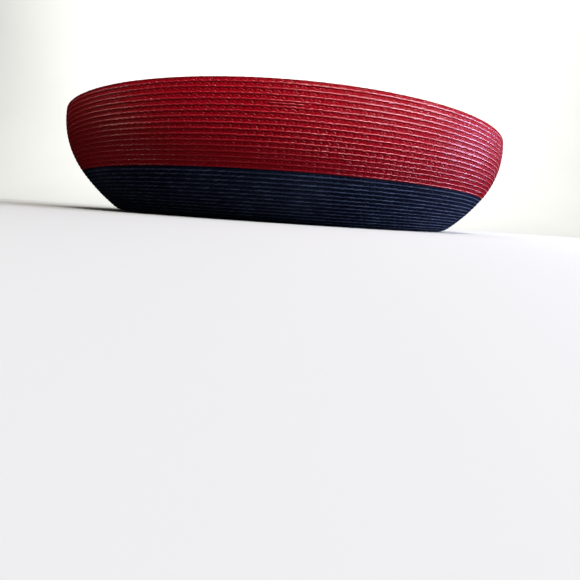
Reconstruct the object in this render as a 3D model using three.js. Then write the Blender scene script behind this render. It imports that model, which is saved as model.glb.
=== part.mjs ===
// Straw hat with a rounded crown and a wide brim that rolls up all round, sewn from rows of braid.
// Millimetres, +Z up, the wearer's front towards -Y. The hat stands on the lowest ring of its brim.
import * as THREE from 'three';

// Head opening and the oval that every ring of braid follows
const HEAD_HALF_WIDTH = 81.5; // from the axis to the inside of the opening, sideways
const OVAL = 13; // how much further each brim ring reaches to the front and back than sideways
const SEGMENTS = 44; // flat facets round each ring

// Sewn braid
const WALL = 1.8;
const SEAT_GAP = 0.3; // clearance where one sewn piece meets the next
const RIDGE = 0.5; // height of a row's ridge above the groove beside it
const RIDGE_PLACE = 0.62; // where the ridge lies in its row, from 0 at the head side to 1

// Dyed braid, before its finer look
const NAVY = { color: 0x131a31, roughness: 0.55, metalness: 0 };
const RED = { color: 0x9a0a17, roughness: 0.3, metalness: 0 };

// Crown
const CROWN_TOP = 104; // highest point above the floor
const SHOULDER_TURN = 60; // degrees that the tighter shoulder arc turns before the flatter tip

// The brim's pieces from the head opening out to the rim. Their sections are one chain of arcs.
// length: along the section. heading: slope at the arc's outer end, in degrees above level.
// ribs: braid rows that stand out as ridges on the outer face. steps: flat facets along a plain arc.
const BRIM_START_HEADING = -60;
const BRIM_PIECES = [
  {
    name: 'brim_under',
    finish: NAVY,
    section: [
      { arc: 'flare', length: 14, heading: -22, ribs: 0, steps: 3 },
      { arc: 'slope', length: 40, heading: -12, ribs: 0, steps: 5 },
      { arc: 'inner roll', length: 3, heading: 0, ribs: 0, steps: 2 },
    ],
  },
  {
    name: 'brim_turn_up',
    finish: NAVY,
    section: [
      { arc: 'rest ring', length: 3, heading: 0, ribs: 0, steps: 1 },
      { arc: 'outer roll', length: 7.5, heading: 40, ribs: 0, steps: 3 },
      { arc: 'turn-up', length: 30, heading: 56, ribs: 12, steps: 5 },
    ],
  },
  {
    name: 'brim_band',
    finish: RED,
    section: [{ arc: 'band', length: 40, heading: 100, ribs: 16, steps: 9 }],
  },
];

// The crown's section from the head opening up, before the dome closes it. Same columns.
const CROWN_SIDE = [
  { arc: 'spring', length: 8, heading: 97, ribs: 0, steps: 2 },
  { arc: 'side', length: 22, heading: 90, ribs: 0, steps: 3 },
];
const SHOULDER_STEPS = 5;
const TIP_STEPS = 4;

const HALF_TURN = 180;
const radians = THREE.MathUtils.degToRad;

/** Move a station along an arc of the section, turning evenly. */
function advance(station, length, turn) {
  const half = radians(turn) / 2;
  const chord = half === 0 ? length : (length * Math.sin(half)) / half;
  const along = radians(station.heading) + half;
  return {
    r: station.r + chord * Math.cos(along),
    z: station.z + chord * Math.sin(along),
    heading: station.heading + turn,
  };
}

/** The point beside a station, on the left of its heading where offset is above zero. */
function beside(station, offset) {
  const heading = radians(station.heading);
  return new THREE.Vector2(
    station.r - offset * Math.sin(heading),
    station.z + offset * Math.cos(heading),
  );
}

/** Walk a table of arcs and return its end and the two faces of the wall along it. */
function walkWall(start, table) {
  const outer = [beside(start, -WALL / 2)];
  const inner = [beside(start, WALL / 2)];
  let at = start;
  for (const { length, heading, ribs, steps } of table) {
    const turn = heading - at.heading;
    for (let step = 1; step <= steps; step += 1) {
      const station = advance(at, (length * step) / steps, (turn * step) / steps);
      inner.push(beside(station, WALL / 2));
      if (ribs === 0) outer.push(beside(station, -WALL / 2));
    }
    for (let row = 0; row < ribs; row += 1) {
      const ridge = (row + RIDGE_PLACE) / ribs;
      const groove = (row + 1) / ribs;
      outer.push(beside(advance(at, length * ridge, turn * ridge), -WALL / 2 - RIDGE / 2));
      outer.push(beside(advance(at, length * groove, turn * groove), -WALL / 2 + RIDGE / 2));
    }
    at = advance(at, length, turn);
  }
  return { end: at, outer, inner };
}

/** How far a ring reaches to the front and back: brim rings run parallel, crown rings in proportion. */
function frontReach(r) {
  return r + OVAL * Math.min(1, r / HEAD_HALF_WIDTH);
}

/** Sweep a section round the oval: x is the distance from the axis and y the height. */
function ovalSweep(section) {
  const geometry = new THREE.LatheGeometry(section, SEGMENTS);
  geometry.rotateX(Math.PI / 2);
  const position = geometry.getAttribute('position');
  for (let i = 0; i < position.count; i += 1) {
    const r = Math.hypot(position.getX(i), position.getY(i));
    if (r > 0) position.setY(i, (position.getY(i) * frontReach(r)) / r);
  }
  geometry.computeVertexNormals();
  return geometry;
}

/** A ring of wall, from its two faces: the section closes on itself. */
function ringSection({ outer, inner }) {
  const section = [...outer, ...inner.toReversed()];
  return [...section, section[0].clone()];
}

/** The walls of the brim's pieces, each set on from the one before. */
function brimWalls(headRing) {
  let at = headRing;
  return BRIM_PIECES.map(({ section }) => {
    const wall = walkWall(at, section);
    at = advance(wall.end, SEAT_GAP, 0);
    return wall;
  });
}

/** The brim's first station, at the height that sets the lowest ring on the floor. */
function findHeadRing() {
  const heading = BRIM_START_HEADING;
  const r = HEAD_HALF_WIDTH - (WALL / 2) * Math.sin(radians(heading));
  const faces = brimWalls({ r, z: 0, heading }).flatMap(({ outer }) => outer);
  return { r, z: -Math.min(...faces.map((point) => point.y)), heading };
}

/** The crown's section: a side that springs from the head opening, and a dome of two arcs. */
function crownSection(headRing) {
  const below = { ...headRing, heading: headRing.heading + HALF_TURN };
  const side = walkWall(advance(below, SEAT_GAP, 0), CROWN_SIDE);
  const rise = CROWN_TOP - WALL / 2 - side.end.z;
  const turn = radians(SHOULDER_TURN);
  const run = side.end.r;
  const shoulderRadius =
    (rise * Math.cos(turn) - run * (1 - Math.sin(turn))) / (Math.cos(turn) + Math.sin(turn) - 1);
  const tipRadius = (run - shoulderRadius * (1 - Math.cos(turn))) / Math.cos(turn);
  const dome = walkWall(side.end, [
    {
      arc: 'shoulder',
      length: shoulderRadius * turn,
      heading: 90 + SHOULDER_TURN,
      ribs: 0,
      steps: SHOULDER_STEPS,
    },
    {
      arc: 'tip',
      length: tipRadius * (Math.PI / 2 - turn),
      heading: HALF_TURN,
      ribs: 0,
      steps: TIP_STEPS,
    },
  ]);
  const outside = [...side.outer, ...dome.outer.slice(1)];
  const inside = [...side.inner, ...dome.inner.slice(1)];
  outside.at(-1).x = 0;
  inside.at(-1).x = 0;
  return [...inside.toReversed(), ...outside];
}

/** A named piece with a finish of its own. */
function piece(name, section, finish) {
  const mesh = new THREE.Mesh(ovalSweep(section), new THREE.MeshStandardMaterial(finish));
  mesh.name = name;
  return mesh;
}

const headRing = findHeadRing();
const hat = new THREE.Group();
hat.add(piece('crown', crownSection(headRing), NAVY));
brimWalls(headRing).forEach((wall, i) => {
  hat.add(piece(BRIM_PIECES[i].name, ringSection(wall), BRIM_PIECES[i].finish));
});

export default hat;
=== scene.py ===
"""Straw hat with a rolled-up brim, sewn from rows of braid: its meshes, finishes, light and camera.

Sizes are in metres. Angles are in degrees where a name ends in _deg, and in radians elsewhere.
The front of the hat faces -Y, and the hat stands on the lowest ring of its brim at height 0.
"""

import logging
import math
from dataclasses import dataclass, field
from enum import Enum
from typing import Any

import bpy
import numpy as np
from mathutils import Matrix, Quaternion, Vector


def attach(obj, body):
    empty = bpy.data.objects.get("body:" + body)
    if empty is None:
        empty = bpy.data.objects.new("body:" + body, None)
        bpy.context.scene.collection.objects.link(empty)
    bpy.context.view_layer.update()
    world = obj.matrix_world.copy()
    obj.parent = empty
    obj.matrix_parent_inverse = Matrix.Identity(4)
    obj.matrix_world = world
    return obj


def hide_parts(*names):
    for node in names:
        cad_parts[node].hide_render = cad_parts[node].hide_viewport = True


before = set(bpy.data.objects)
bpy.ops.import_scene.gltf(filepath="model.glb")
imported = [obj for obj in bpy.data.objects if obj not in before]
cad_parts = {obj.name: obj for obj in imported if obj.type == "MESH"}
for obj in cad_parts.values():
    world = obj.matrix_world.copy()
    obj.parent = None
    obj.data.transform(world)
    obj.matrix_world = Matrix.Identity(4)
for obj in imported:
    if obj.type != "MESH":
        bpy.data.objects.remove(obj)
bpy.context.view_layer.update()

log = logging.getLogger("straw_hat")

Colour = tuple[float, float, float]

# The hat's own sizes
HEAD_HALF_WIDTH = 0.0815  # from the axis to the inside of the head opening, sideways
OVAL = 0.013  # how much further a brim ring reaches to the front and back than sideways
WALL = 0.0018  # thickness of the sewn braid
SEAT_GAP = 0.0003  # between one sewn piece and the next
CROWN_TOP = 0.104
BRIM_START_DEG = -60.0
SHOULDER_TURN_DEG = 60.0

# The braid's own sizes
ROW = 0.0025  # from one row of braid to the next
CELL = 0.0042  # length of one stitch of the plait along its row
FEWEST_STITCHES = 5  # in the smallest row, at the tip of the crown
RIDGE = 0.00016  # what a height of 1 in ROW_HEIGHTS stands for
BED = 0.00042  # from the middle of the wall to a height of 0 on either face
SINK = 0.6  # share of a strand's height that is pressed into its bed
GRAIN_RADIUS = 0.5  # of the ball that a strand is modelled in before it gets its sizes
WELD = 1e-6  # points closer than this are one
CREASE_DEG = 50.0  # edges of the wall that bend further than this stay sharp

# Across a row, from the groove at its head side to the next groove: place and height of the wall's face
ROW_PLACES = (0.0, 0.08, 0.30, 0.40, 1.0)
ROW_HEIGHTS = (0.10, 0.85, 0.85, 0.20, 0.10)
INNER_PLACES = (0.0, 0.20)  # the places that the plainer inside keeps
GROOVE_SHADE_SHARE = 0.05  # share of a row on either side of a groove that is painted dark as shade in the groove
SHADED_FLAT_TONE = 0.62  # tone of the wall's outside from one groove to the next, below the ridge strands' as painted shade on the flats

# How unevenly the braid is sewn, where a spread is a share of the size that it changes
SEED = 20
SWAY = 0.00009  # how far a row strays from its place
SWAY_WAVES = (2, 5, 11)  # waves of that in one turn
STAGGER = 0.5  # from the stitches of one row to those of the next, in stitches
STAGGER_SPREAD = 0.05  # in stitches
PLACE_SPREAD = 0.02  # in rows
LENGTH_SPREAD = 0.06
WIDTH_SPREAD = 0.05
HEIGHT_SPREAD = 0.08
SLANT_SPREAD_DEG = 2.0
MOST_SPREADS = 2.0  # that a strand may differ by

# The straw's grain, which every finish shares
FIBRE_SCALE = (3.0, 22.0, 1.0)  # fibre marks along a stitch and across a row
FIBRE_DETAIL = 3.0
FIBRE_ROUGHNESS = 0.6
PATCH_SCALE = 22.0  # paler and deeper patches in a metre
PATCH_DETAIL = 2.0
NOISE_MIDDLE = 0.5
TONE_SHADE = 0.9  # how much the tone, the fibres and the patches each change the shade
FIBRE_SHADE = 0.3
PATCH_SHADE = 0.3
FIBRE_ROUGHENING = 0.22  # how much the fibres and the patches each change the roughness
PATCH_ROUGHENING = 0.2
FOLD_PLACE = 0.62  # place across a row where its weave turns back
WEAVE_WAVES = 2.0  # waves of the weave in a stitch
WEAVE_LEAN = 1.6  # waves that it leans by in the width of a row
WEAVE_RELIEF = 0.5  # how much the weave and the fibres each make of the relief
FIBRE_RELIEF = 0.5
RELIEF = 0.0002  # height of the relief
RELIEF_STRENGTH = 0.35
DULL_TONE = 0.55  # tones up to this have no lacquer
GLOSSY_TONE = 0.95  # tones from this on have all of it
LACQUER_IOR = 1.65


class Face(Enum):
    """A wall's two faces, and the way each one looks from the middle of the wall."""

    OUTSIDE = 1
    INSIDE = -1


class Share(Enum):
    """Which of a wall's two meshes a family of strands belongs to."""

    ROWS = "rows"
    PLAIT = "plait"


@dataclass(frozen=True)
class Arc:
    """One arc of the hat's section.

    Attributes:
        length: how long the arc is.
        heading_deg: the slope at its far end, above level.
    """

    length: float
    heading_deg: float


class Section:
    """A chain of arcs that the middle of a wall follows, walked outwards from the head opening."""

    def __init__(self, r: float, z: float, heading_deg: float, arcs: tuple[Arc, ...]) -> None:
        """Walk the arcs once and keep where each of them starts.

        Args:
            r: distance of the first point from the axis.
            z: height of the first point.
            heading_deg: slope at the first point.
            arcs: the arcs in their order.
        """
        self.starts = [0.0]
        self.stations = [(r, z, math.radians(heading_deg))]
        self.bends = []
        for arc in arcs:
            turn = math.radians(arc.heading_deg) - self.stations[-1][2]
            self.bends.append(turn / arc.length)
            self.stations.append(self._walk(len(self.bends) - 1, arc.length))
            self.starts.append(self.starts[-1] + arc.length)

    @property
    def length(self) -> float:
        """Length of the whole chain."""
        return self.starts[-1]

    def _walk(self, index: Any, step: Any) -> tuple[Any, Any, Any]:
        """Go some way along one arc, or along one arc for each of many points.

        Args:
            index: number of the arc, or an array of them.
            step: way along it, or an array of ways.

        Returns:
            Distance from the axis, height and heading.
        """
        r, z, heading = np.moveaxis(np.array(self.stations)[index], -1, 0)
        half = np.array(self.bends)[index] * step / 2
        chord = step * np.sinc(half / math.pi)
        return r + chord * np.cos(heading + half), z + chord * np.sin(heading + half), heading + 2 * half

    def at(self, along: np.ndarray) -> tuple[np.ndarray, np.ndarray, np.ndarray]:
        """Points of the section at many ways along it.

        Args:
            along: lengths from the section's start.

        Returns:
            Distance from the axis, height and heading of each.
        """
        index = np.clip(np.searchsorted(self.starts, along, side="right") - 1, 0, len(self.bends) - 1)
        return self._walk(index, along - np.array(self.starts)[index])


class Oval:
    """The oval that every ring of the hat follows."""

    @staticmethod
    def reach(r: np.ndarray) -> np.ndarray:
        """How far rings go to the front and back, from how far they go sideways."""
        return r + OVAL * np.minimum(1, r / HEAD_HALF_WIDTH)

    @staticmethod
    def stretch(r: np.ndarray, theta: np.ndarray) -> np.ndarray:
        """Length along a ring for each radian of its angle."""
        return np.hypot(r * np.sin(theta), Oval.reach(r) * np.cos(theta))

    @staticmethod
    def place(r: np.ndarray, z: np.ndarray, theta: np.ndarray) -> np.ndarray:
        """Points on rings.

        Args:
            r: distance of each ring from the axis, sideways.
            z: height of each ring.
            theta: angle round the axis, from +X.

        Returns:
            The points, with x, y and z on the last axis.
        """
        return np.stack([r * np.cos(theta), Oval.reach(r) * np.sin(theta), z], axis=-1)


@dataclass(frozen=True)
class StrandForm:
    """The form of one strand of straw between two crossings: a slim grain.

    Attributes:
        sides: flat sides round the grain.
        rings: steps from tip to tip.
    """

    sides: int
    rings: int

    def model(self) -> tuple[np.ndarray, np.ndarray]:
        """Model the grain lying along X, inside a ball one unit across.

        Returns:
            Its points, and its triangles as point numbers.
        """
        deselect()
        bpy.ops.mesh.primitive_uv_sphere_add(
            segments=self.sides, ring_count=self.rings, radius=GRAIN_RADIUS
        )
        grain = bpy.context.object
        bpy.ops.object.mode_set(mode="EDIT")
        bpy.ops.mesh.select_all(action="SELECT")
        bpy.ops.transform.rotate(value=math.pi / 2, orient_axis="Y", center_override=(0, 0, 0))
        bpy.ops.mesh.quads_convert_to_tris()
        bpy.ops.object.mode_set(mode="OBJECT")
        points = read(grain.data.vertices, "co", 3)
        corners = read(grain.data.loops, "vertex_index", 1, np.int32).reshape(-1, 3)
        mesh = grain.data
        bpy.data.objects.remove(grain)
        bpy.data.meshes.remove(mesh)
        return points, corners


@dataclass(frozen=True)
class Plait:
    """A family of strands that comes once in each stitch of each row.

    Attributes:
        face: the face of the wall that they lie on.
        share: the mesh that they belong to.
        form: the form of each strand.
        length: of a strand.
        width: of a strand.
        height: of a strand.
        slant_deg: how far a strand leans from the row, to the outer side where it is above zero.
        place: where a strand's middle lies across its row, from 0 to 1.
        shift: where its middle lies along its stitch, from 0 to 1.
        drapes: whether it follows the wall's face or lies straight across it.
        tones_and_shade: the darkest and the palest of its straws, from 0 to 1, set lower on the flats and
            at the rim than on the ridges as painted shade.
        rim_only: whether it lies on the wall's last row alone.
    """

    face: Face
    share: Share
    form: StrandForm
    length: float
    width: float
    height: float
    slant_deg: float
    place: float
    shift: float = 0.0
    drapes: bool = False
    # By default the pale range of the ridge strands, above the flats', so that the ridges carry painted
    # light and the flats painted shade.
    tones_and_shade: tuple[float, float] = (0.76, 0.94)
    rim_only: bool = False


@dataclass(frozen=True)
class Splice:
    """The end of one length of braid, which lies over the next as a short ridge between two rows.

    Attributes:
        place: where it lies, counted in rows from the wall's start.
        middle_deg: the middle of it, round the axis from +X.
        strands: how many strands it shows.
        hook_deg: how far its last strand turns up to the row above.
    """

    place: float
    middle_deg: float
    strands: int
    hook_deg: float


def deselect() -> None:
    """Clear the selection."""
    bpy.ops.object.select_all(action="DESELECT")


def read(items: Any, name: str, width: int, kind: type = np.float32) -> np.ndarray:
    """Read one property of all of a mesh's points, corners or faces.

    Args:
        items: the mesh's collection.
        name: the property.
        width: how many numbers each item has.
        kind: the numbers' type.

    Returns:
        One row for each item, or a flat array where width is 1.
    """
    found = np.empty(len(items) * width, kind)
    items.foreach_get(name, found)
    return found.reshape(-1, width) if width > 1 else found


def row_height(place: np.ndarray) -> np.ndarray:
    """Height of a wall's face above its bed, at places counted in rows."""
    return RIDGE * np.interp(np.mod(place, 1.0), ROW_PLACES, ROW_HEIGHTS)


@dataclass
class BraidWall:
    """A wall of sewn braid: a stretch of the section swept round the oval, with its strands.

    Attributes:
        node: the solid that it stands for.
        section: the chain of arcs that it follows.
        start: where it starts along the section.
        end: where it ends.
        segments: flat facets round the wall under the strands.
        finish: the finish of its straw.
        plaits: the families of strands that lie on it.
        closed: whether the wall ends on the axis.
        splices: the braid's ends that show on its outside.
        rows: how many rows of braid it has.
        pitch: from one of its rows to the next.
        dice: what its random numbers come from.
        phases: how far each row's stitches are shifted, in stitches.
        strays: the waves by which each row strays from its place.
    """

    node: str
    section: Section
    start: float
    end: float
    segments: int
    finish: "StrawFinish"
    plaits: tuple[Plait, ...]
    closed: bool = False
    splices: tuple[Splice, ...] = ()
    rows: int = field(init=False)
    pitch: float = field(init=False)
    dice: np.random.Generator = field(init=False)
    phases: np.ndarray = field(init=False)
    strays: np.ndarray = field(init=False)

    def __post_init__(self) -> None:
        """Work out the rows, how their stitches stagger, and how they stray."""
        self.rows = round((self.end - self.start) / ROW)
        self.pitch = (self.end - self.start) / self.rows
        self.dice = np.random.default_rng(SEED + self.rows)
        self.phases = STAGGER * np.arange(self.rows) + self.dice.normal(0.0, STAGGER_SPREAD, self.rows)
        self.strays = self.dice.normal(0.0, 1.0, (self.rows, len(SWAY_WAVES), 2))

    def sway(self, row: int, theta: np.ndarray) -> np.ndarray:
        """How far a row strays from its place.

        Args:
            row: the row's number.
            theta: angles round the axis.

        Returns:
            The stray at each angle, along the section.
        """
        turns = np.outer(SWAY_WAVES, theta)
        sines, cosines = self.strays[row].T
        return SWAY * (sines @ np.sin(turns) + cosines @ np.cos(turns)) / len(SWAY_WAVES)

    def surface(self, theta: np.ndarray, along: np.ndarray, height: np.ndarray) -> np.ndarray:
        """Points on or over the wall.

        Args:
            theta: angles round the axis.
            along: lengths along the section.
            height: heights over the middle of the wall, above zero on its outside.

        Returns:
            The points, with x, y and z on the last axis.
        """
        r, z, heading = self.section.at(along)
        return Oval.place(r + height * np.sin(heading), z - height * np.cos(heading), theta)

    def marks(self, places: tuple[float, ...]) -> np.ndarray:
        """Some places of every row, counted in rows, and the wall's end."""
        return np.append((np.arange(self.rows)[:, None] + np.array(places)).ravel(), self.rows)

    def outline(self) -> tuple[np.ndarray, np.ndarray, np.ndarray]:
        """The wall's own section, as a closed line of points.

        Returns:
            The points as distance and height, their ways along the section, and their faces' signs.
        """
        outer, inner = self.marks(ROW_PLACES[:-1]), self.marks(INNER_PLACES)[::-1]
        places = np.concatenate([outer, inner])
        side = np.repeat([Face.OUTSIDE.value, Face.INSIDE.value], [len(outer), len(inner)])
        along = self.start + places * self.pitch
        height = (BED + row_height(places)) * side
        r, z, heading = self.section.at(along)
        points = np.stack([r + height * np.sin(heading), z - height * np.cos(heading)], axis=1)
        if self.closed:
            points[[len(outer) - 1, len(outer)], 0] = 0
        return points, along, side

    def spin_wall(self) -> bpy.types.Object:
        """Spin the outline round the axis and push it out to the oval.

        Returns:
            The wall under the strands, with its maps.
        """
        points, along, side = self.outline()
        deselect()
        bpy.ops.mesh.primitive_circle_add(vertices=len(points), radius=HEAD_HALF_WIDTH)
        wall = bpy.context.object
        flat = np.stack([points[:, 0], np.zeros(len(points)), points[:, 1]], axis=1)
        wall.data.vertices.foreach_set("co", flat.ravel())
        bpy.ops.object.mode_set(mode="EDIT")
        bpy.ops.mesh.select_all(action="SELECT")
        bpy.ops.mesh.spin(steps=self.segments, angle=math.tau, center=(0, 0, 0), axis=(0, 0, 1))
        bpy.ops.mesh.select_all(action="SELECT")
        bpy.ops.mesh.remove_doubles(threshold=WELD)
        bpy.ops.mesh.delete_loose()
        bpy.ops.mesh.select_all(action="SELECT")
        bpy.ops.mesh.normals_make_consistent(inside=False)
        bpy.ops.object.mode_set(mode="OBJECT")
        spun = read(wall.data.vertices, "co", 3).astype(float)
        r = np.hypot(spun[:, 0], spun[:, 1])
        theta = np.arctan2(spun[:, 1], spun[:, 0])
        apart = (r[:, None] - points[:, 0]) ** 2 + (spun[:, 2][:, None] - points[:, 1]) ** 2
        nearest = apart.argmin(axis=1)
        wall.data.vertices.foreach_set("co", Oval.place(r, spun[:, 2], theta).astype(np.float32).ravel())
        wall.data.update()
        # Painted shade: the grooves and the whole inside get tone 0, the deepest straw, and the outside's
        # flats a tone below the ridges'.
        place = (along - self.start) / self.pitch
        painted_groove_shade = np.abs(place - np.round(place)) < GROOVE_SHADE_SHARE
        tone_and_shade = np.where((side == Face.OUTSIDE.value) & ~painted_groove_shade, SHADED_FLAT_TONE, 0.0)
        self.write_maps(wall.data, theta, along[nearest], side[nearest], tone_and_shade[nearest])
        bpy.ops.object.shade_smooth_by_angle(angle=math.radians(CREASE_DEG))
        return wall

    def stitches(self, along: float) -> int:
        """How many stitches go round the hat in the row at a way along the section."""
        r = float(self.section.at(np.array([along]))[0][0])
        return max(FEWEST_STITCHES, round(math.tau * (r + OVAL / 2) / CELL))

    def stations(self, plait: Plait) -> tuple[np.ndarray, np.ndarray, np.ndarray]:
        """Where the strands of a family lie: stitch by stitch and row by row, counted from the left.

        Args:
            plait: the family.

        Returns:
            Each strand's angle round the axis, way along the section and slant in degrees.
        """
        turns, middles, slants = [], [], []
        for row in range(self.rows - 1 if plait.rim_only else 0, self.rows):
            middle = self.start + (row + plait.place) * self.pitch
            count = self.stitches(middle)
            turn = math.pi + (np.arange(count) + plait.shift + self.phases[row]) * math.tau / count
            turns.append(turn)
            middles.append(middle + self.sway(row, turn))
            slants.append(np.full(count, plait.slant_deg))
        for splice in self.splices if plait.share is Share.ROWS and not plait.rim_only else ():
            middle = self.start + splice.place * self.pitch
            step = np.arange(splice.strands) - (splice.strands - 1) / 2
            turns.append(math.radians(splice.middle_deg) + step * math.tau / self.stitches(middle))
            middles.append(np.full(splice.strands, middle))
            slants.append(np.where(step < step[-1], plait.slant_deg / 2, splice.hook_deg))
        return np.concatenate(turns), np.concatenate(middles), np.concatenate(slants)

    def lay_strands(self, plait: Plait) -> bpy.types.Object:
        """Lay one family of strands on the wall, joined as one mesh.

        Args:
            plait: the family.

        Returns:
            The strands, with their maps.
        """
        points, corners = plait.form.model()
        theta, middle, slant_deg = self.stations(plait)
        count = len(theta)
        loose = self.dice.normal(size=(5, count)).clip(-MOST_SPREADS, MOST_SPREADS)
        middle = middle + PLACE_SPREAD * ROW * loose[0]
        length = plait.length * (1 + LENGTH_SPREAD * loose[1])
        width = plait.width * (1 + WIDTH_SPREAD * loose[2])
        height = plait.height * (1 + HEIGHT_SPREAD * loose[3])
        slant = np.radians(slant_deg + SLANT_SPREAD_DEG * loose[4])[:, None]
        x, y = points[:, 0] * length[:, None], points[:, 1] * width[:, None]
        up = points[:, 2] + GRAIN_RADIUS - SINK
        over = x * np.cos(slant) - y * np.sin(slant)
        across = x * np.sin(slant) + y * np.cos(slant)
        r = self.section.at(middle)[0]
        turn = theta[:, None] + over / Oval.stretch(r, theta)[:, None]
        along = (middle[:, None] + across).clip(self.start, self.end)
        under = (along - self.start) / self.pitch if plait.drapes else np.array(plait.place)
        raised = (BED + row_height(under) + up * height[:, None]) * plait.face.value
        mesh = bpy.data.meshes.new("strands")
        verts = self.surface(turn, along, raised).reshape(-1, 3)
        faces = corners if plait.face is Face.OUTSIDE else corners[:, ::-1]
        faces = (faces[None] + len(points) * np.arange(count)[:, None, None]).reshape(-1, 3)
        fill_triangles(mesh, verts, faces)
        tone_and_shade = np.repeat(self.dice.uniform(*plait.tones_and_shade, count), len(points))
        side = np.full(len(verts), plait.face.value)
        self.write_maps(mesh, turn.ravel(), along.ravel(), side, tone_and_shade)
        strands = bpy.data.objects.new("strands", mesh)
        bpy.context.collection.objects.link(strands)
        return strands

    def write_maps(
        self, mesh: bpy.types.Mesh, theta: np.ndarray, along: np.ndarray, side: np.ndarray, tone_and_shade: np.ndarray
    ) -> None:
        """Give a mesh its brightness per point, with painted shade in it, and its two maps: stitches and
        rows, and a flat lay-out of the wall.

        Args:
            mesh: the mesh.
            theta: each point's angle.
            along: each point's way along the section.
            side: each point's face, as a sign.
            tone_and_shade: each point's brightness, from 0 for the deepest straw to 1 for the brightest:
                the straws' random spread plus painted shade, low in the grooves, on the flats, on the
                inside and at the rim.
        """
        mesh.attributes.new("tone_and_shade", "FLOAT", "POINT").data.foreach_set("value", tone_and_shade.astype(np.float32))
        point = read(mesh.loops, "vertex_index", 1, np.int32)
        first = read(mesh.polygons, "loop_start", 1, np.int32)
        size = read(mesh.polygons, "loop_total", 1, np.int32)
        angle = np.mod(theta, math.tau)[point]
        wide = np.maximum.reduceat(angle, first) - np.minimum.reduceat(angle, first) > math.pi
        angle = np.where(np.repeat(wide, size) & (angle < math.pi), angle + math.tau, angle)
        row = ((along - self.start) / self.pitch)[point]
        girth = math.tau * (self.section.at(along)[0].mean() + OVAL / 2)
        stitches = angle / math.tau * round(girth / CELL)
        half = np.repeat(np.add.reduceat(side[point], first) < 0, size)
        flat = np.stack([(angle / math.tau).clip(0, 1), (row / self.rows + half).clip(0, 2) / 2], axis=1)
        for name, places in (("stitches", np.stack([stitches, row], axis=1)), ("OFBake", flat)):
            mesh.uv_layers.new(name=name).uv.foreach_set("vector", places.astype(np.float32).ravel())

    def build(self) -> list[bpy.types.Object]:
        """Make the wall's meshes and dress them.

        Returns:
            The wall with the edges of its rows, and the finer strands where it has some.
        """
        shares: dict[Share, list[bpy.types.Object]] = {Share.ROWS: [self.spin_wall()], Share.PLAIT: []}
        for plait in self.plaits:
            shares[plait.share].append(self.lay_strands(plait))
        return [self.dress(join(parts), share) for share, parts in shares.items() if parts]

    def dress(self, piece: bpy.types.Object, share: Share) -> bpy.types.Object:
        """Name a mesh, give it its straw and set it on the hat in its solid's place.

        Args:
            piece: the mesh.
            share: which of the wall's meshes it is.

        Returns:
            The dressed mesh.
        """
        mesh = piece.data
        piece.name = mesh.name = f"{self.node}_{share.value}"
        mesh.polygons.foreach_set("use_smooth", np.ones(len(mesh.polygons), bool))
        mesh.materials.append(self.finish.material())
        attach(piece, "root")
        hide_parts(self.node)
        triangles = len(mesh.loops) - 2 * len(mesh.polygons)
        log.info("%s: %d rows, %d triangles", piece.name, self.rows, triangles)
        return piece


def join(parts: list[bpy.types.Object]) -> bpy.types.Object:
    """Join some meshes into the first of them.

    Args:
        parts: the meshes.

    Returns:
        The joined mesh.
    """
    deselect()
    for part in parts:
        part.select_set(True)
    bpy.context.view_layer.objects.active = parts[0]
    if len(parts) > 1:
        bpy.ops.object.join()
    return parts[0]


def fill_triangles(mesh: bpy.types.Mesh, verts: np.ndarray, faces: np.ndarray) -> None:
    """Fill an empty mesh with triangles.

    Args:
        mesh: the mesh.
        verts: its points.
        faces: its triangles, as point numbers.
    """
    mesh.vertices.add(len(verts))
    mesh.vertices.foreach_set("co", verts.astype(np.float32).ravel())
    mesh.loops.add(faces.size)
    mesh.loops.foreach_set("vertex_index", faces.astype(np.int32).ravel())
    mesh.polygons.add(len(faces))
    mesh.polygons.foreach_set("loop_start", np.arange(0, faces.size, 3, dtype=np.int32))
    mesh.update(calc_edges=True)


class Socket:
    """A node's output that can be used in Python sums, each of which adds a Math node."""

    def __init__(self, graph: "Graph", output: bpy.types.NodeSocket) -> None:
        """Keep the graph and the output."""
        self.graph = graph
        self.output = output

    def math(self, operation: str, *values: Any) -> "Socket":
        """Add a Math node on some values, of which this socket may be one."""
        return self.graph.node("ShaderNodeMath", {"operation": operation}, dict(enumerate(values)))

    def __add__(self, other: Any) -> "Socket":
        """This plus another."""
        return self.math("ADD", self, other)

    def __sub__(self, other: Any) -> "Socket":
        """This less another."""
        return self.math("SUBTRACT", self, other)

    def __rsub__(self, other: Any) -> "Socket":
        """Another less this."""
        return self.math("SUBTRACT", other, self)

    def __mul__(self, other: Any) -> "Socket":
        """This times another."""
        return self.math("MULTIPLY", self, other)

    __radd__ = __add__
    __rmul__ = __mul__

    def __abs__(self) -> "Socket":
        """This without its sign."""
        return self.math("ABSOLUTE", self)

    def fract(self) -> "Socket":
        """What is left of this past its last whole number."""
        return self.math("FRACT", self)

    def sine(self) -> "Socket":
        """The sine of this."""
        return self.math("SINE", self)


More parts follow.
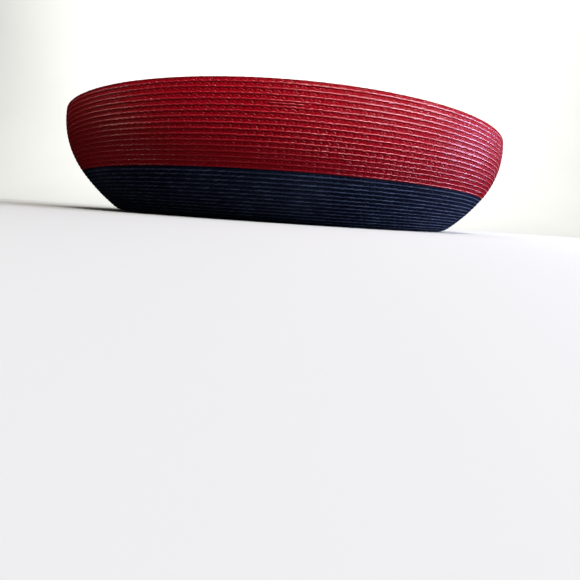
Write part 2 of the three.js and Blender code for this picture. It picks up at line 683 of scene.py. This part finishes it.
class Graph:
    """A material's nodes."""

    def __init__(self, name: str) -> None:
        """Start a material with no node.

        Args:
            name: the material's name.
        """
        self.material = bpy.data.materials.new(name)
        self.material.use_nodes = True
        self.tree = self.material.node_tree
        self.tree.nodes.clear()

    def node(self, kind: str, settings: dict[str, Any], inputs: dict[Any, Any], output: Any = 0) -> Socket:
        """Add a node.

        Args:
            kind: the node's type.
            settings: its own properties, set first.
            inputs: values or sockets for its inputs, by name or number.
            output: the output to hand back, by name or number.

        Returns:
            That output, or the first input of a node with none.
        """
        made = self.tree.nodes.new(kind)
        for name, value in settings.items():
            setattr(made, name, value)
        for key, value in inputs.items():
            if isinstance(value, Socket):
                self.tree.links.new(value.output, made.inputs[key])
            else:
                made.inputs[key].default_value = value
        return Socket(self, made.outputs[output] if made.outputs else made.inputs[0])

    def mix(self, share: Any, low: Any, high: Any) -> Socket:
        """Mix two colours by a share of the second, at the node's colour sockets."""
        return self.node("ShaderNodeMix", {"data_type": "RGBA"}, {0: share, 6: low, 7: high}, 2)


def opaque(colour: Colour) -> tuple[float, float, float, float]:
    """A colour with full alpha."""
    return (*colour, 1.0)


@dataclass(frozen=True)
class StrawFinish:
    """Dyed straw braid.

    Attributes:
        name: the material's name.
        slot: the record's finish that it stands for; not used.
        deep: colour of the deepest straw, which the grooves and the inside take as painted shade.
        bright: colour of the palest straws.
        fade: how steeply the straws between them darken, which also deepens the painted shade of the flats.
        roughness: of the straw's own surface.
        shine: specular level.
        lacquer: weight of the clear coat on the raised straws.
        lacquer_roughness: its roughness.
    """

    name: str
    slot: str
    deep: Colour
    bright: Colour
    fade: float
    roughness: float
    shine: float
    lacquer: float
    lacquer_roughness: float

    def material(self) -> bpy.types.Material:
        """The material, made when it is first asked for."""
        return bpy.data.materials.get(self.name) or self.make()

    def make(self) -> bpy.types.Material:
        """Make the material.

        Returns:
            The material.
        """
        graph = Graph(self.name)
        tone_and_shade = graph.node("ShaderNodeAttribute", {"attribute_name": "tone_and_shade"}, {}, "Fac")
        sewn = graph.node("ShaderNodeUVMap", {"uv_map": "stitches"}, {})
        stitch = graph.node("ShaderNodeSeparateXYZ", {}, {0: sewn}, "X")
        row = graph.node("ShaderNodeSeparateXYZ", {}, {0: sewn}, "Y")
        place = graph.node("ShaderNodeTexCoord", {}, {}, "Object")
        stretched = graph.node("ShaderNodeMapping", {}, {"Vector": sewn, "Scale": FIBRE_SCALE})
        fibre = graph.node(
            "ShaderNodeTexNoise",
            {},
            {"Vector": stretched, "Scale": 1.0, "Detail": FIBRE_DETAIL, "Roughness": FIBRE_ROUGHNESS},
        )
        patch = graph.node(
            "ShaderNodeTexNoise", {}, {"Vector": place, "Scale": PATCH_SCALE, "Detail": PATCH_DETAIL}
        )
        streak, fading = fibre - NOISE_MIDDLE, patch - NOISE_MIDDLE
        # The shade of the straw follows the tone attribute, and so carries the painted shade of the
        # grooves, flats, inside and rim; fibres and patches add the straw's own grain.
        faded = tone_and_shade.math("POWER", tone_and_shade, self.fade)
        shade = faded * TONE_SHADE + streak * FIBRE_SHADE + fading * PATCH_SHADE
        raised = graph.node(
            "ShaderNodeMapRange",
            {},
            {"Value": tone_and_shade, "From Min": DULL_TONE, "From Max": GLOSSY_TONE, "To Max": self.lacquer},
        )
        fold = abs(row.fract() - FOLD_PLACE)
        weave = ((stitch * WEAVE_WAVES + fold * WEAVE_LEAN) * math.tau).sine()
        relief = weave * WEAVE_RELIEF * (1 - tone_and_shade) + fibre * FIBRE_RELIEF
        bump = graph.node(
            "ShaderNodeBump", {}, {"Strength": RELIEF_STRENGTH, "Distance": RELIEF, "Height": relief}
        )
        shader = graph.node(
            "ShaderNodeBsdfPrincipled",
            {},
            {
                "Base Color": graph.mix(shade, opaque(self.deep), opaque(self.bright)),
                "Roughness": streak * FIBRE_ROUGHENING + fading * PATCH_ROUGHENING + self.roughness,
                "Specular IOR Level": self.shine,
                "Coat Weight": raised,
                "Coat Roughness": self.lacquer_roughness,
                "Coat IOR": LACQUER_IOR,
                "Normal": bump,
            },
        )
        graph.node("ShaderNodeOutputMaterial", {}, {"Surface": shader})
        return graph.material


NAVY = StrawFinish(
    name="navy_braid",
    slot="navy_straw",
    deep=(0.0010, 0.0018, 0.0065),
    bright=(0.040, 0.053, 0.094),
    fade=5.0,
    roughness=0.55,
    shine=0.01,
    lacquer=0.03,
    lacquer_roughness=0.3,
)
RED = StrawFinish(
    name="red_braid",
    slot="red_straw",
    deep=(0.080, 0.0002, 0.0011),
    bright=(0.168, 0.0012, 0.0055),
    fade=1.0,
    roughness=0.5,
    shine=0.01,
    lacquer=0.81,
    lacquer_roughness=0.27,
)

# Strand forms, from the roundest to the plainest
ROUND_GRAIN = StrandForm(sides=5, rings=4)
PLAIN_GRAIN = StrandForm(sides=4, rings=3)
THIN_GRAIN = StrandForm(sides=3, rings=3)


def edge_strands(face: Face, form: StrandForm) -> Plait:
    """The strands that fold over at the edge of each row and make its ridge.

    Args:
        face: the face of the wall that they lie on.
        form: the form of each strand.

    Returns:
        The family. The inside's joins the finer strands, so that no mesh has too many triangles.
    """
    return Plait(
        face=face,
        share=Share.ROWS if face is Face.OUTSIDE else Share.PLAIT,
        form=form,
        length=0.0052,
        width=0.0009,
        height=0.00031,
        slant_deg=5.0,
        place=0.20,
    )


def cross_strands(form: StrandForm) -> tuple[Plait, ...]:
    """The strands that zigzag over the flat part of each row, leaning either way in turn.

    Args:
        form: the form of each strand.

    Returns:
        One family for each way.
    """
    return tuple(
        Plait(
            face=Face.OUTSIDE,
            share=Share.PLAIT,
            form=form,
            length=0.0024,
            width=0.0008,
            height=0.00004,
            slant_deg=lean_deg,
            place=0.70,
            shift=shift,
            drapes=True,
            # Tones below the ridge strands', as painted shade on the flats.
            tones_and_shade=(0.52, 0.66),
        )
        for lean_deg, shift in ((33.0, 0.1), (-33.0, 0.6))
    )


def rim_strands(form: StrandForm) -> Plait:
    """The folded edge of the last row, which is the hat's rim.

    Args:
        form: the form of each strand.

    Returns:
        The family.
    """
    return Plait(
        face=Face.OUTSIDE,
        share=Share.PLAIT,
        form=form,
        length=0.0050,
        width=0.0007,
        height=0.0006,
        slant_deg=6.0,
        place=0.95,
        # Dark tones, as a painted shade line along the rim.
        tones_and_shade=(0.1, 0.4),
        rim_only=True,
    )


@dataclass
class Hat:
    """The whole hat: a crown and a brim that rolls up all round.

    Attributes:
        under: arcs of the brim's underside, from the head opening to the roll.
        turn_up: arcs of the roll and of the navy part of the turn-up.
        band: the arc of the red band.
        crown_side: arcs of the crown below its dome.
        splice: the braid's end that shows at the front of the band.
        crown_facets: flat facets round the crown, under its strands.
        under_facets: flat facets round the brim's underside.
        outer_facets: flat facets round the turn-up and the band.
    """

    under: tuple[Arc, ...] = (Arc(0.014, -22), Arc(0.040, -12), Arc(0.003, 0))
    turn_up: tuple[Arc, ...] = (Arc(0.003, 0), Arc(0.0075, 40), Arc(0.030, 56))
    band: tuple[Arc, ...] = (Arc(0.040, 100),)
    crown_side: tuple[Arc, ...] = (Arc(0.008, 97), Arc(0.022, 90))
    splice: Splice = Splice(place=11.75, middle_deg=-85.8, strands=5, hook_deg=40.0)
    crown_facets: int = 120
    under_facets: int = 150
    outer_facets: int = 180

    def brim_section(self) -> Section:
        """The brim's chain of arcs, set so that its lowest ring rests at height 0.

        Returns:
            The chain, with the gaps between its pieces.
        """
        arcs: list[Arc] = []
        for piece in (self.under, self.turn_up, self.band):
            arcs += [*piece, Arc(SEAT_GAP, piece[-1].heading_deg)]
        r = HEAD_HALF_WIDTH - WALL / 2 * math.sin(math.radians(BRIM_START_DEG))
        level = Section(r, 0.0, BRIM_START_DEG, tuple(arcs))
        lowest = min(z for _, z, _ in level.stations)
        return Section(r, WALL / 2 - lowest, BRIM_START_DEG, tuple(arcs))

    def crown_section(self, brim: Section) -> Section:
        """The crown's chain of arcs: a side, a shoulder, and a flatter tip that ends on the axis.

        Args:
            brim: the brim's chain, which the crown rises from.

        Returns:
            The chain.
        """
        r, z, heading = brim.stations[0]
        start_deg = math.degrees(heading) + 180
        below = (Arc(SEAT_GAP, start_deg), *self.crown_side)
        side_r, side_z, _ = Section(r, z, start_deg, below).stations[-1]
        rise = CROWN_TOP - WALL / 2 - side_z
        turn = math.radians(SHOULDER_TURN_DEG)
        sine, cosine = math.sin(turn), math.cos(turn)
        shoulder = (rise * cosine - side_r * (1 - sine)) / (cosine + sine - 1)
        tip = (side_r - shoulder * (1 - cosine)) / cosine
        dome = (Arc(shoulder * turn, 90 + SHOULDER_TURN_DEG), Arc(tip * (math.pi / 2 - turn), 180))
        return Section(r, z, start_deg, (*below, *dome))

    def build(self) -> list[bpy.types.Object]:
        """Build every wall of the hat.

        Returns:
            All the pieces.
        """
        brim = self.brim_section()
        crown = self.crown_section(brim)
        lengths = [sum(arc.length for arc in piece) for piece in (self.under, self.turn_up, self.band)]
        turn_up_start, band_start, rim = np.cumsum(lengths) + SEAT_GAP * np.array((1, 2, 2))
        outside = edge_strands(Face.OUTSIDE, ROUND_GRAIN), *cross_strands(PLAIN_GRAIN)
        inside = edge_strands(Face.INSIDE, THIN_GRAIN)
        walls = (
            BraidWall(
                node="crown",
                section=crown,
                start=0.0,
                end=crown.length,
                segments=self.crown_facets,
                finish=NAVY,
                plaits=(edge_strands(Face.OUTSIDE, PLAIN_GRAIN),),
                closed=True,
            ),
            BraidWall(
                node="brim_under",
                section=brim,
                start=0.0,
                end=turn_up_start,
                segments=self.under_facets,
                finish=NAVY,
                plaits=(edge_strands(Face.OUTSIDE, THIN_GRAIN), inside),
            ),
            BraidWall(
                node="brim_turn_up",
                section=brim,
                start=turn_up_start,
                end=band_start,
                segments=self.outer_facets,
                finish=NAVY,
                plaits=(*outside, inside),
            ),
            BraidWall(
                node="brim_band",
                section=brim,
                start=band_start,
                end=rim,
                segments=self.outer_facets,
                finish=RED,
                plaits=(*outside, inside, rim_strands(PLAIN_GRAIN)),
                splices=(self.splice,),
            ),
        )
        return [piece for wall in walls for piece in wall.build()]


@dataclass(frozen=True)
class SoftBox:
    """A soft light.

    Attributes:
        name: the light's name.
        azimuth_deg: its way round the hat, from the front towards +X.
        height_deg: its height above level, seen from the hat.
        distance: from the hat.
        width: of its panel.
        tall: height of its panel.
        power: in watts.
        colour: of the light.
        aim: the point that it faces.
    """

    name: str
    azimuth_deg: float
    height_deg: float
    distance: float
    width: float
    tall: float
    power: float
    colour: Colour
    aim: tuple[float, float, float] = (0.0, 0.0, 0.04)

    def build(self) -> bpy.types.Object:
        """Hang the light and turn it to what it faces.

        Returns:
            The light.
        """
        azimuth, height = math.radians(self.azimuth_deg), math.radians(self.height_deg)
        level = math.cos(height)
        out = Vector((math.sin(azimuth) * level, -math.cos(azimuth) * level, math.sin(height)))
        data = bpy.data.lights.new(self.name, "AREA")
        data.shape = "RECTANGLE"
        data.size, data.size_y = self.width, self.tall
        data.energy, data.color = self.power, self.colour
        light = bpy.data.objects.new(self.name, data)
        light.location = out * self.distance
        light.rotation_euler = (Vector(self.aim) - light.location).to_track_quat("-Z", "Y").to_euler()
        bpy.context.collection.objects.link(light)
        return light


@dataclass(frozen=True)
class FloorFinish:
    """A pale, matt floor that fades out in front of the hat and beside it.

    Attributes:
        deep: the darker colour of its mottle.
        pale: the paler one.
        mottle_scale: patches of it in a metre.
        mottle_detail: finer steps of it.
        roughness: of its surface.
        shine: specular level.
        fade_start: how far from the hat it starts to fade.
        fade_end: how far from the hat it has gone.
        fade_lean: how much further it reaches for each metre behind the hat.
    """

    deep: Colour = (0.184, 0.184, 0.174)
    pale: Colour = (0.198, 0.198, 0.187)
    mottle_scale: float = 3.0
    mottle_detail: float = 3.0
    roughness: float = 0.9
    shine: float = 0.1
    fade_start: float = 0.7
    fade_end: float = 1.5
    fade_lean: float = 0.95

    def make(self) -> bpy.types.Material:
        """Make the material.

        Returns:
            The material.
        """
        graph = Graph("pale_floor")
        place = graph.node("ShaderNodeTexCoord", {}, {}, "Object")
        mottle = graph.node(
            "ShaderNodeTexNoise",
            {},
            {"Vector": place, "Scale": self.mottle_scale, "Detail": self.mottle_detail},
        )
        x = graph.node("ShaderNodeSeparateXYZ", {}, {0: place}, "X")
        y = graph.node("ShaderNodeSeparateXYZ", {}, {0: place}, "Y")
        front, back = y.math("MINIMUM", y, 0.0), y.math("MAXIMUM", y, 0.0)
        reach = x.math("SQRT", x * x + front * front) - back * self.fade_lean
        fade = {"From Min": self.fade_start, "From Max": self.fade_end, "To Min": 1.0, "To Max": 0.0}
        alpha = graph.node(
            "ShaderNodeMapRange", {"interpolation_type": "SMOOTHSTEP"}, {"Value": reach, **fade}
        )
        shader = graph.node(
            "ShaderNodeBsdfPrincipled",
            {},
            {
                "Base Color": graph.mix(mottle, opaque(self.deep), opaque(self.pale)),
                "Roughness": self.roughness,
                "Specular IOR Level": self.shine,
                "Alpha": alpha,
            },
        )
        graph.node("ShaderNodeOutputMaterial", {}, {"Surface": shader})
        return graph.material


@dataclass
class Studio:
    """A pale sweep, soft light and the camera.

    Attributes:
        lights: the lights.
        floor: the sweep's finish.
        floor_size: length of the floor's sides.
        wall_height: height of the wall behind it.
        bend: radius of the bend between them.
        bend_steps: flat steps in the bend.
        camera_distance: from the hat's axis.
        camera_height: above the floor.
        camera_azimuth_deg: way round the hat, from the front towards +X.
        camera_turn_deg: turn to the right of the hat's axis.
        camera_dip_deg: how far the camera looks down.
        camera_roll_deg: lean of the camera to its left.
        focal_px: the lens's length in the picture's own pixels.
        frame_px: the picture's width.
        sensor_mm: width of the camera's sensor.
        nearest: distance from which the camera sees.
        furthest: distance up to which it sees.
    """

    lights: tuple[SoftBox, ...] = (
        SoftBox(
            name="window",
            azimuth_deg=94,
            height_deg=10,
            distance=1.1,
            width=0.55,
            tall=0.3,
            power=24,
            colour=(0.56, 0.62, 1.0),
        ),
        SoftBox(
            name="key",
            azimuth_deg=60,
            height_deg=32,
            distance=1.2,
            width=0.8,
            tall=0.5,
            power=55,
            colour=(0.86, 0.88, 1.0),
        ),
        SoftBox(
            name="ceiling",
            azimuth_deg=22,
            height_deg=58,
            distance=1.2,
            width=0.4,
            tall=0.12,
            power=26,
            colour=(1.0, 0.95, 0.92),
        ),
        SoftBox(
            name="fill",
            azimuth_deg=-74,
            height_deg=12,
            distance=1.1,
            width=0.4,
            tall=0.2,
            power=2.4,
            colour=(1.0, 0.88, 0.75),
        ),
        SoftBox(
            name="backdrop_wash",
            azimuth_deg=180,
            height_deg=68,
            distance=2.2,
            width=4.0,
            tall=0.4,
            power=420,
            colour=(1.0, 1.0, 1.0),
            aim=(0.0, 2.6, 1.0),
        ),
    )
    floor: FloorFinish = FloorFinish()
    floor_size: float = 5.0
    wall_height: float = 3.0
    bend: float = 1.5
    bend_steps: int = 24
    camera_distance: float = 0.370
    camera_height: float = 0.004
    camera_azimuth_deg: float = 4.0
    camera_turn_deg: float = 1.6
    camera_dip_deg: float = 10.9
    camera_roll_deg: float = 3.9
    focal_px: float = 380.0
    frame_px: float = 580.0
    sensor_mm: float = 36.0
    nearest: float = 0.002
    furthest: float = 100.0

    def build(self) -> None:
        """Set up everything around the hat."""
        self.build_sweep()
        for light in self.lights:
            light.build()
        self.build_world()
        self.build_camera()
        bpy.context.scene.view_settings.view_transform = "Standard"

    @staticmethod
    def build_world() -> None:
        """Put white all round, which the camera sees and which lights nothing."""
        world = bpy.data.worlds.new("studio")
        bpy.context.scene.world = world
        world.use_nodes = True
        background = world.node_tree.nodes["Background"]
        background.inputs["Color"].default_value = opaque((1.0, 1.0, 1.0))
        background.inputs["Strength"].default_value = 1.0
        world.cycles_visibility.diffuse = world.cycles_visibility.glossy = False

    def build_sweep(self) -> bpy.types.Object:
        """Model the floor and the wall behind it as one sheet with a wide round bend.

        Returns:
            The sweep.
        """
        deselect()
        bpy.ops.mesh.primitive_plane_add(size=self.floor_size, location=(0, 0, 0))
        sweep = bpy.context.object
        sweep.name = "floor_sweep"
        bpy.ops.object.mode_set(mode="EDIT")
        self.pick_edge(sweep)
        bpy.ops.mesh.extrude_region_move(TRANSFORM_OT_translate={"value": (0, 0, self.wall_height)})
        self.pick_edge(sweep)
        bpy.ops.mesh.bevel(
            offset=self.bend, offset_type="OFFSET", segments=self.bend_steps, profile=0.5, affect="EDGES"
        )
        bpy.ops.object.mode_set(mode="OBJECT")
        bpy.ops.object.shade_smooth()
        sweep.data.materials.append(self.floor.make())
        sweep.visible_glossy = False
        return sweep

    @staticmethod
    def pick_edge(sweep: bpy.types.Object) -> None:
        """Select the floor's far edge alone, in edit mode.

        Args:
            sweep: the floor.
        """
        bpy.ops.mesh.select_mode(type="EDGE")
        bpy.ops.mesh.select_all(action="DESELECT")
        bpy.ops.object.mode_set(mode="OBJECT")
        points = [v.co for v in sweep.data.vertices]
        far = max(p.y for p in points)
        for edge in sweep.data.edges:
            ends = [points[i] for i in edge.vertices]
            edge.select = all(abs(p.y - far) < WELD and abs(p.z) < WELD for p in ends)
        bpy.ops.object.mode_set(mode="EDIT")

    def build_camera(self) -> bpy.types.Object:
        """Set the camera low before the hat, a little above the floor.

        Returns:
            The camera.
        """
        data = bpy.data.cameras.new("camera")
        data.sensor_width = self.sensor_mm
        data.lens = self.focal_px / self.frame_px * self.sensor_mm
        data.clip_start, data.clip_end = self.nearest, self.furthest
        camera = bpy.data.objects.new("camera", data)
        azimuth = math.radians(self.camera_azimuth_deg)
        camera.location = (
            self.camera_distance * math.sin(azimuth),
            -self.camera_distance * math.cos(azimuth),
            self.camera_height,
        )
        facing = azimuth - math.radians(self.camera_turn_deg)
        dip = math.radians(self.camera_dip_deg)
        level = math.cos(dip)
        ahead = Vector((-math.sin(facing) * level, math.cos(facing) * level, -math.sin(dip)))
        roll = Quaternion((0, 0, 1), math.radians(self.camera_roll_deg))
        camera.rotation_euler = (ahead.to_track_quat("-Z", "Y") @ roll).to_euler()
        bpy.context.collection.objects.link(camera)
        bpy.context.scene.camera = camera
        return camera


def main() -> None:
    """Build the hat and its studio."""
    logging.basicConfig(level=logging.INFO, format="%(name)s %(message)s")
    pieces = Hat().build()
    log.info("%d pieces", len(pieces))
    Studio().build()


if __name__ == "__main__":
    main()
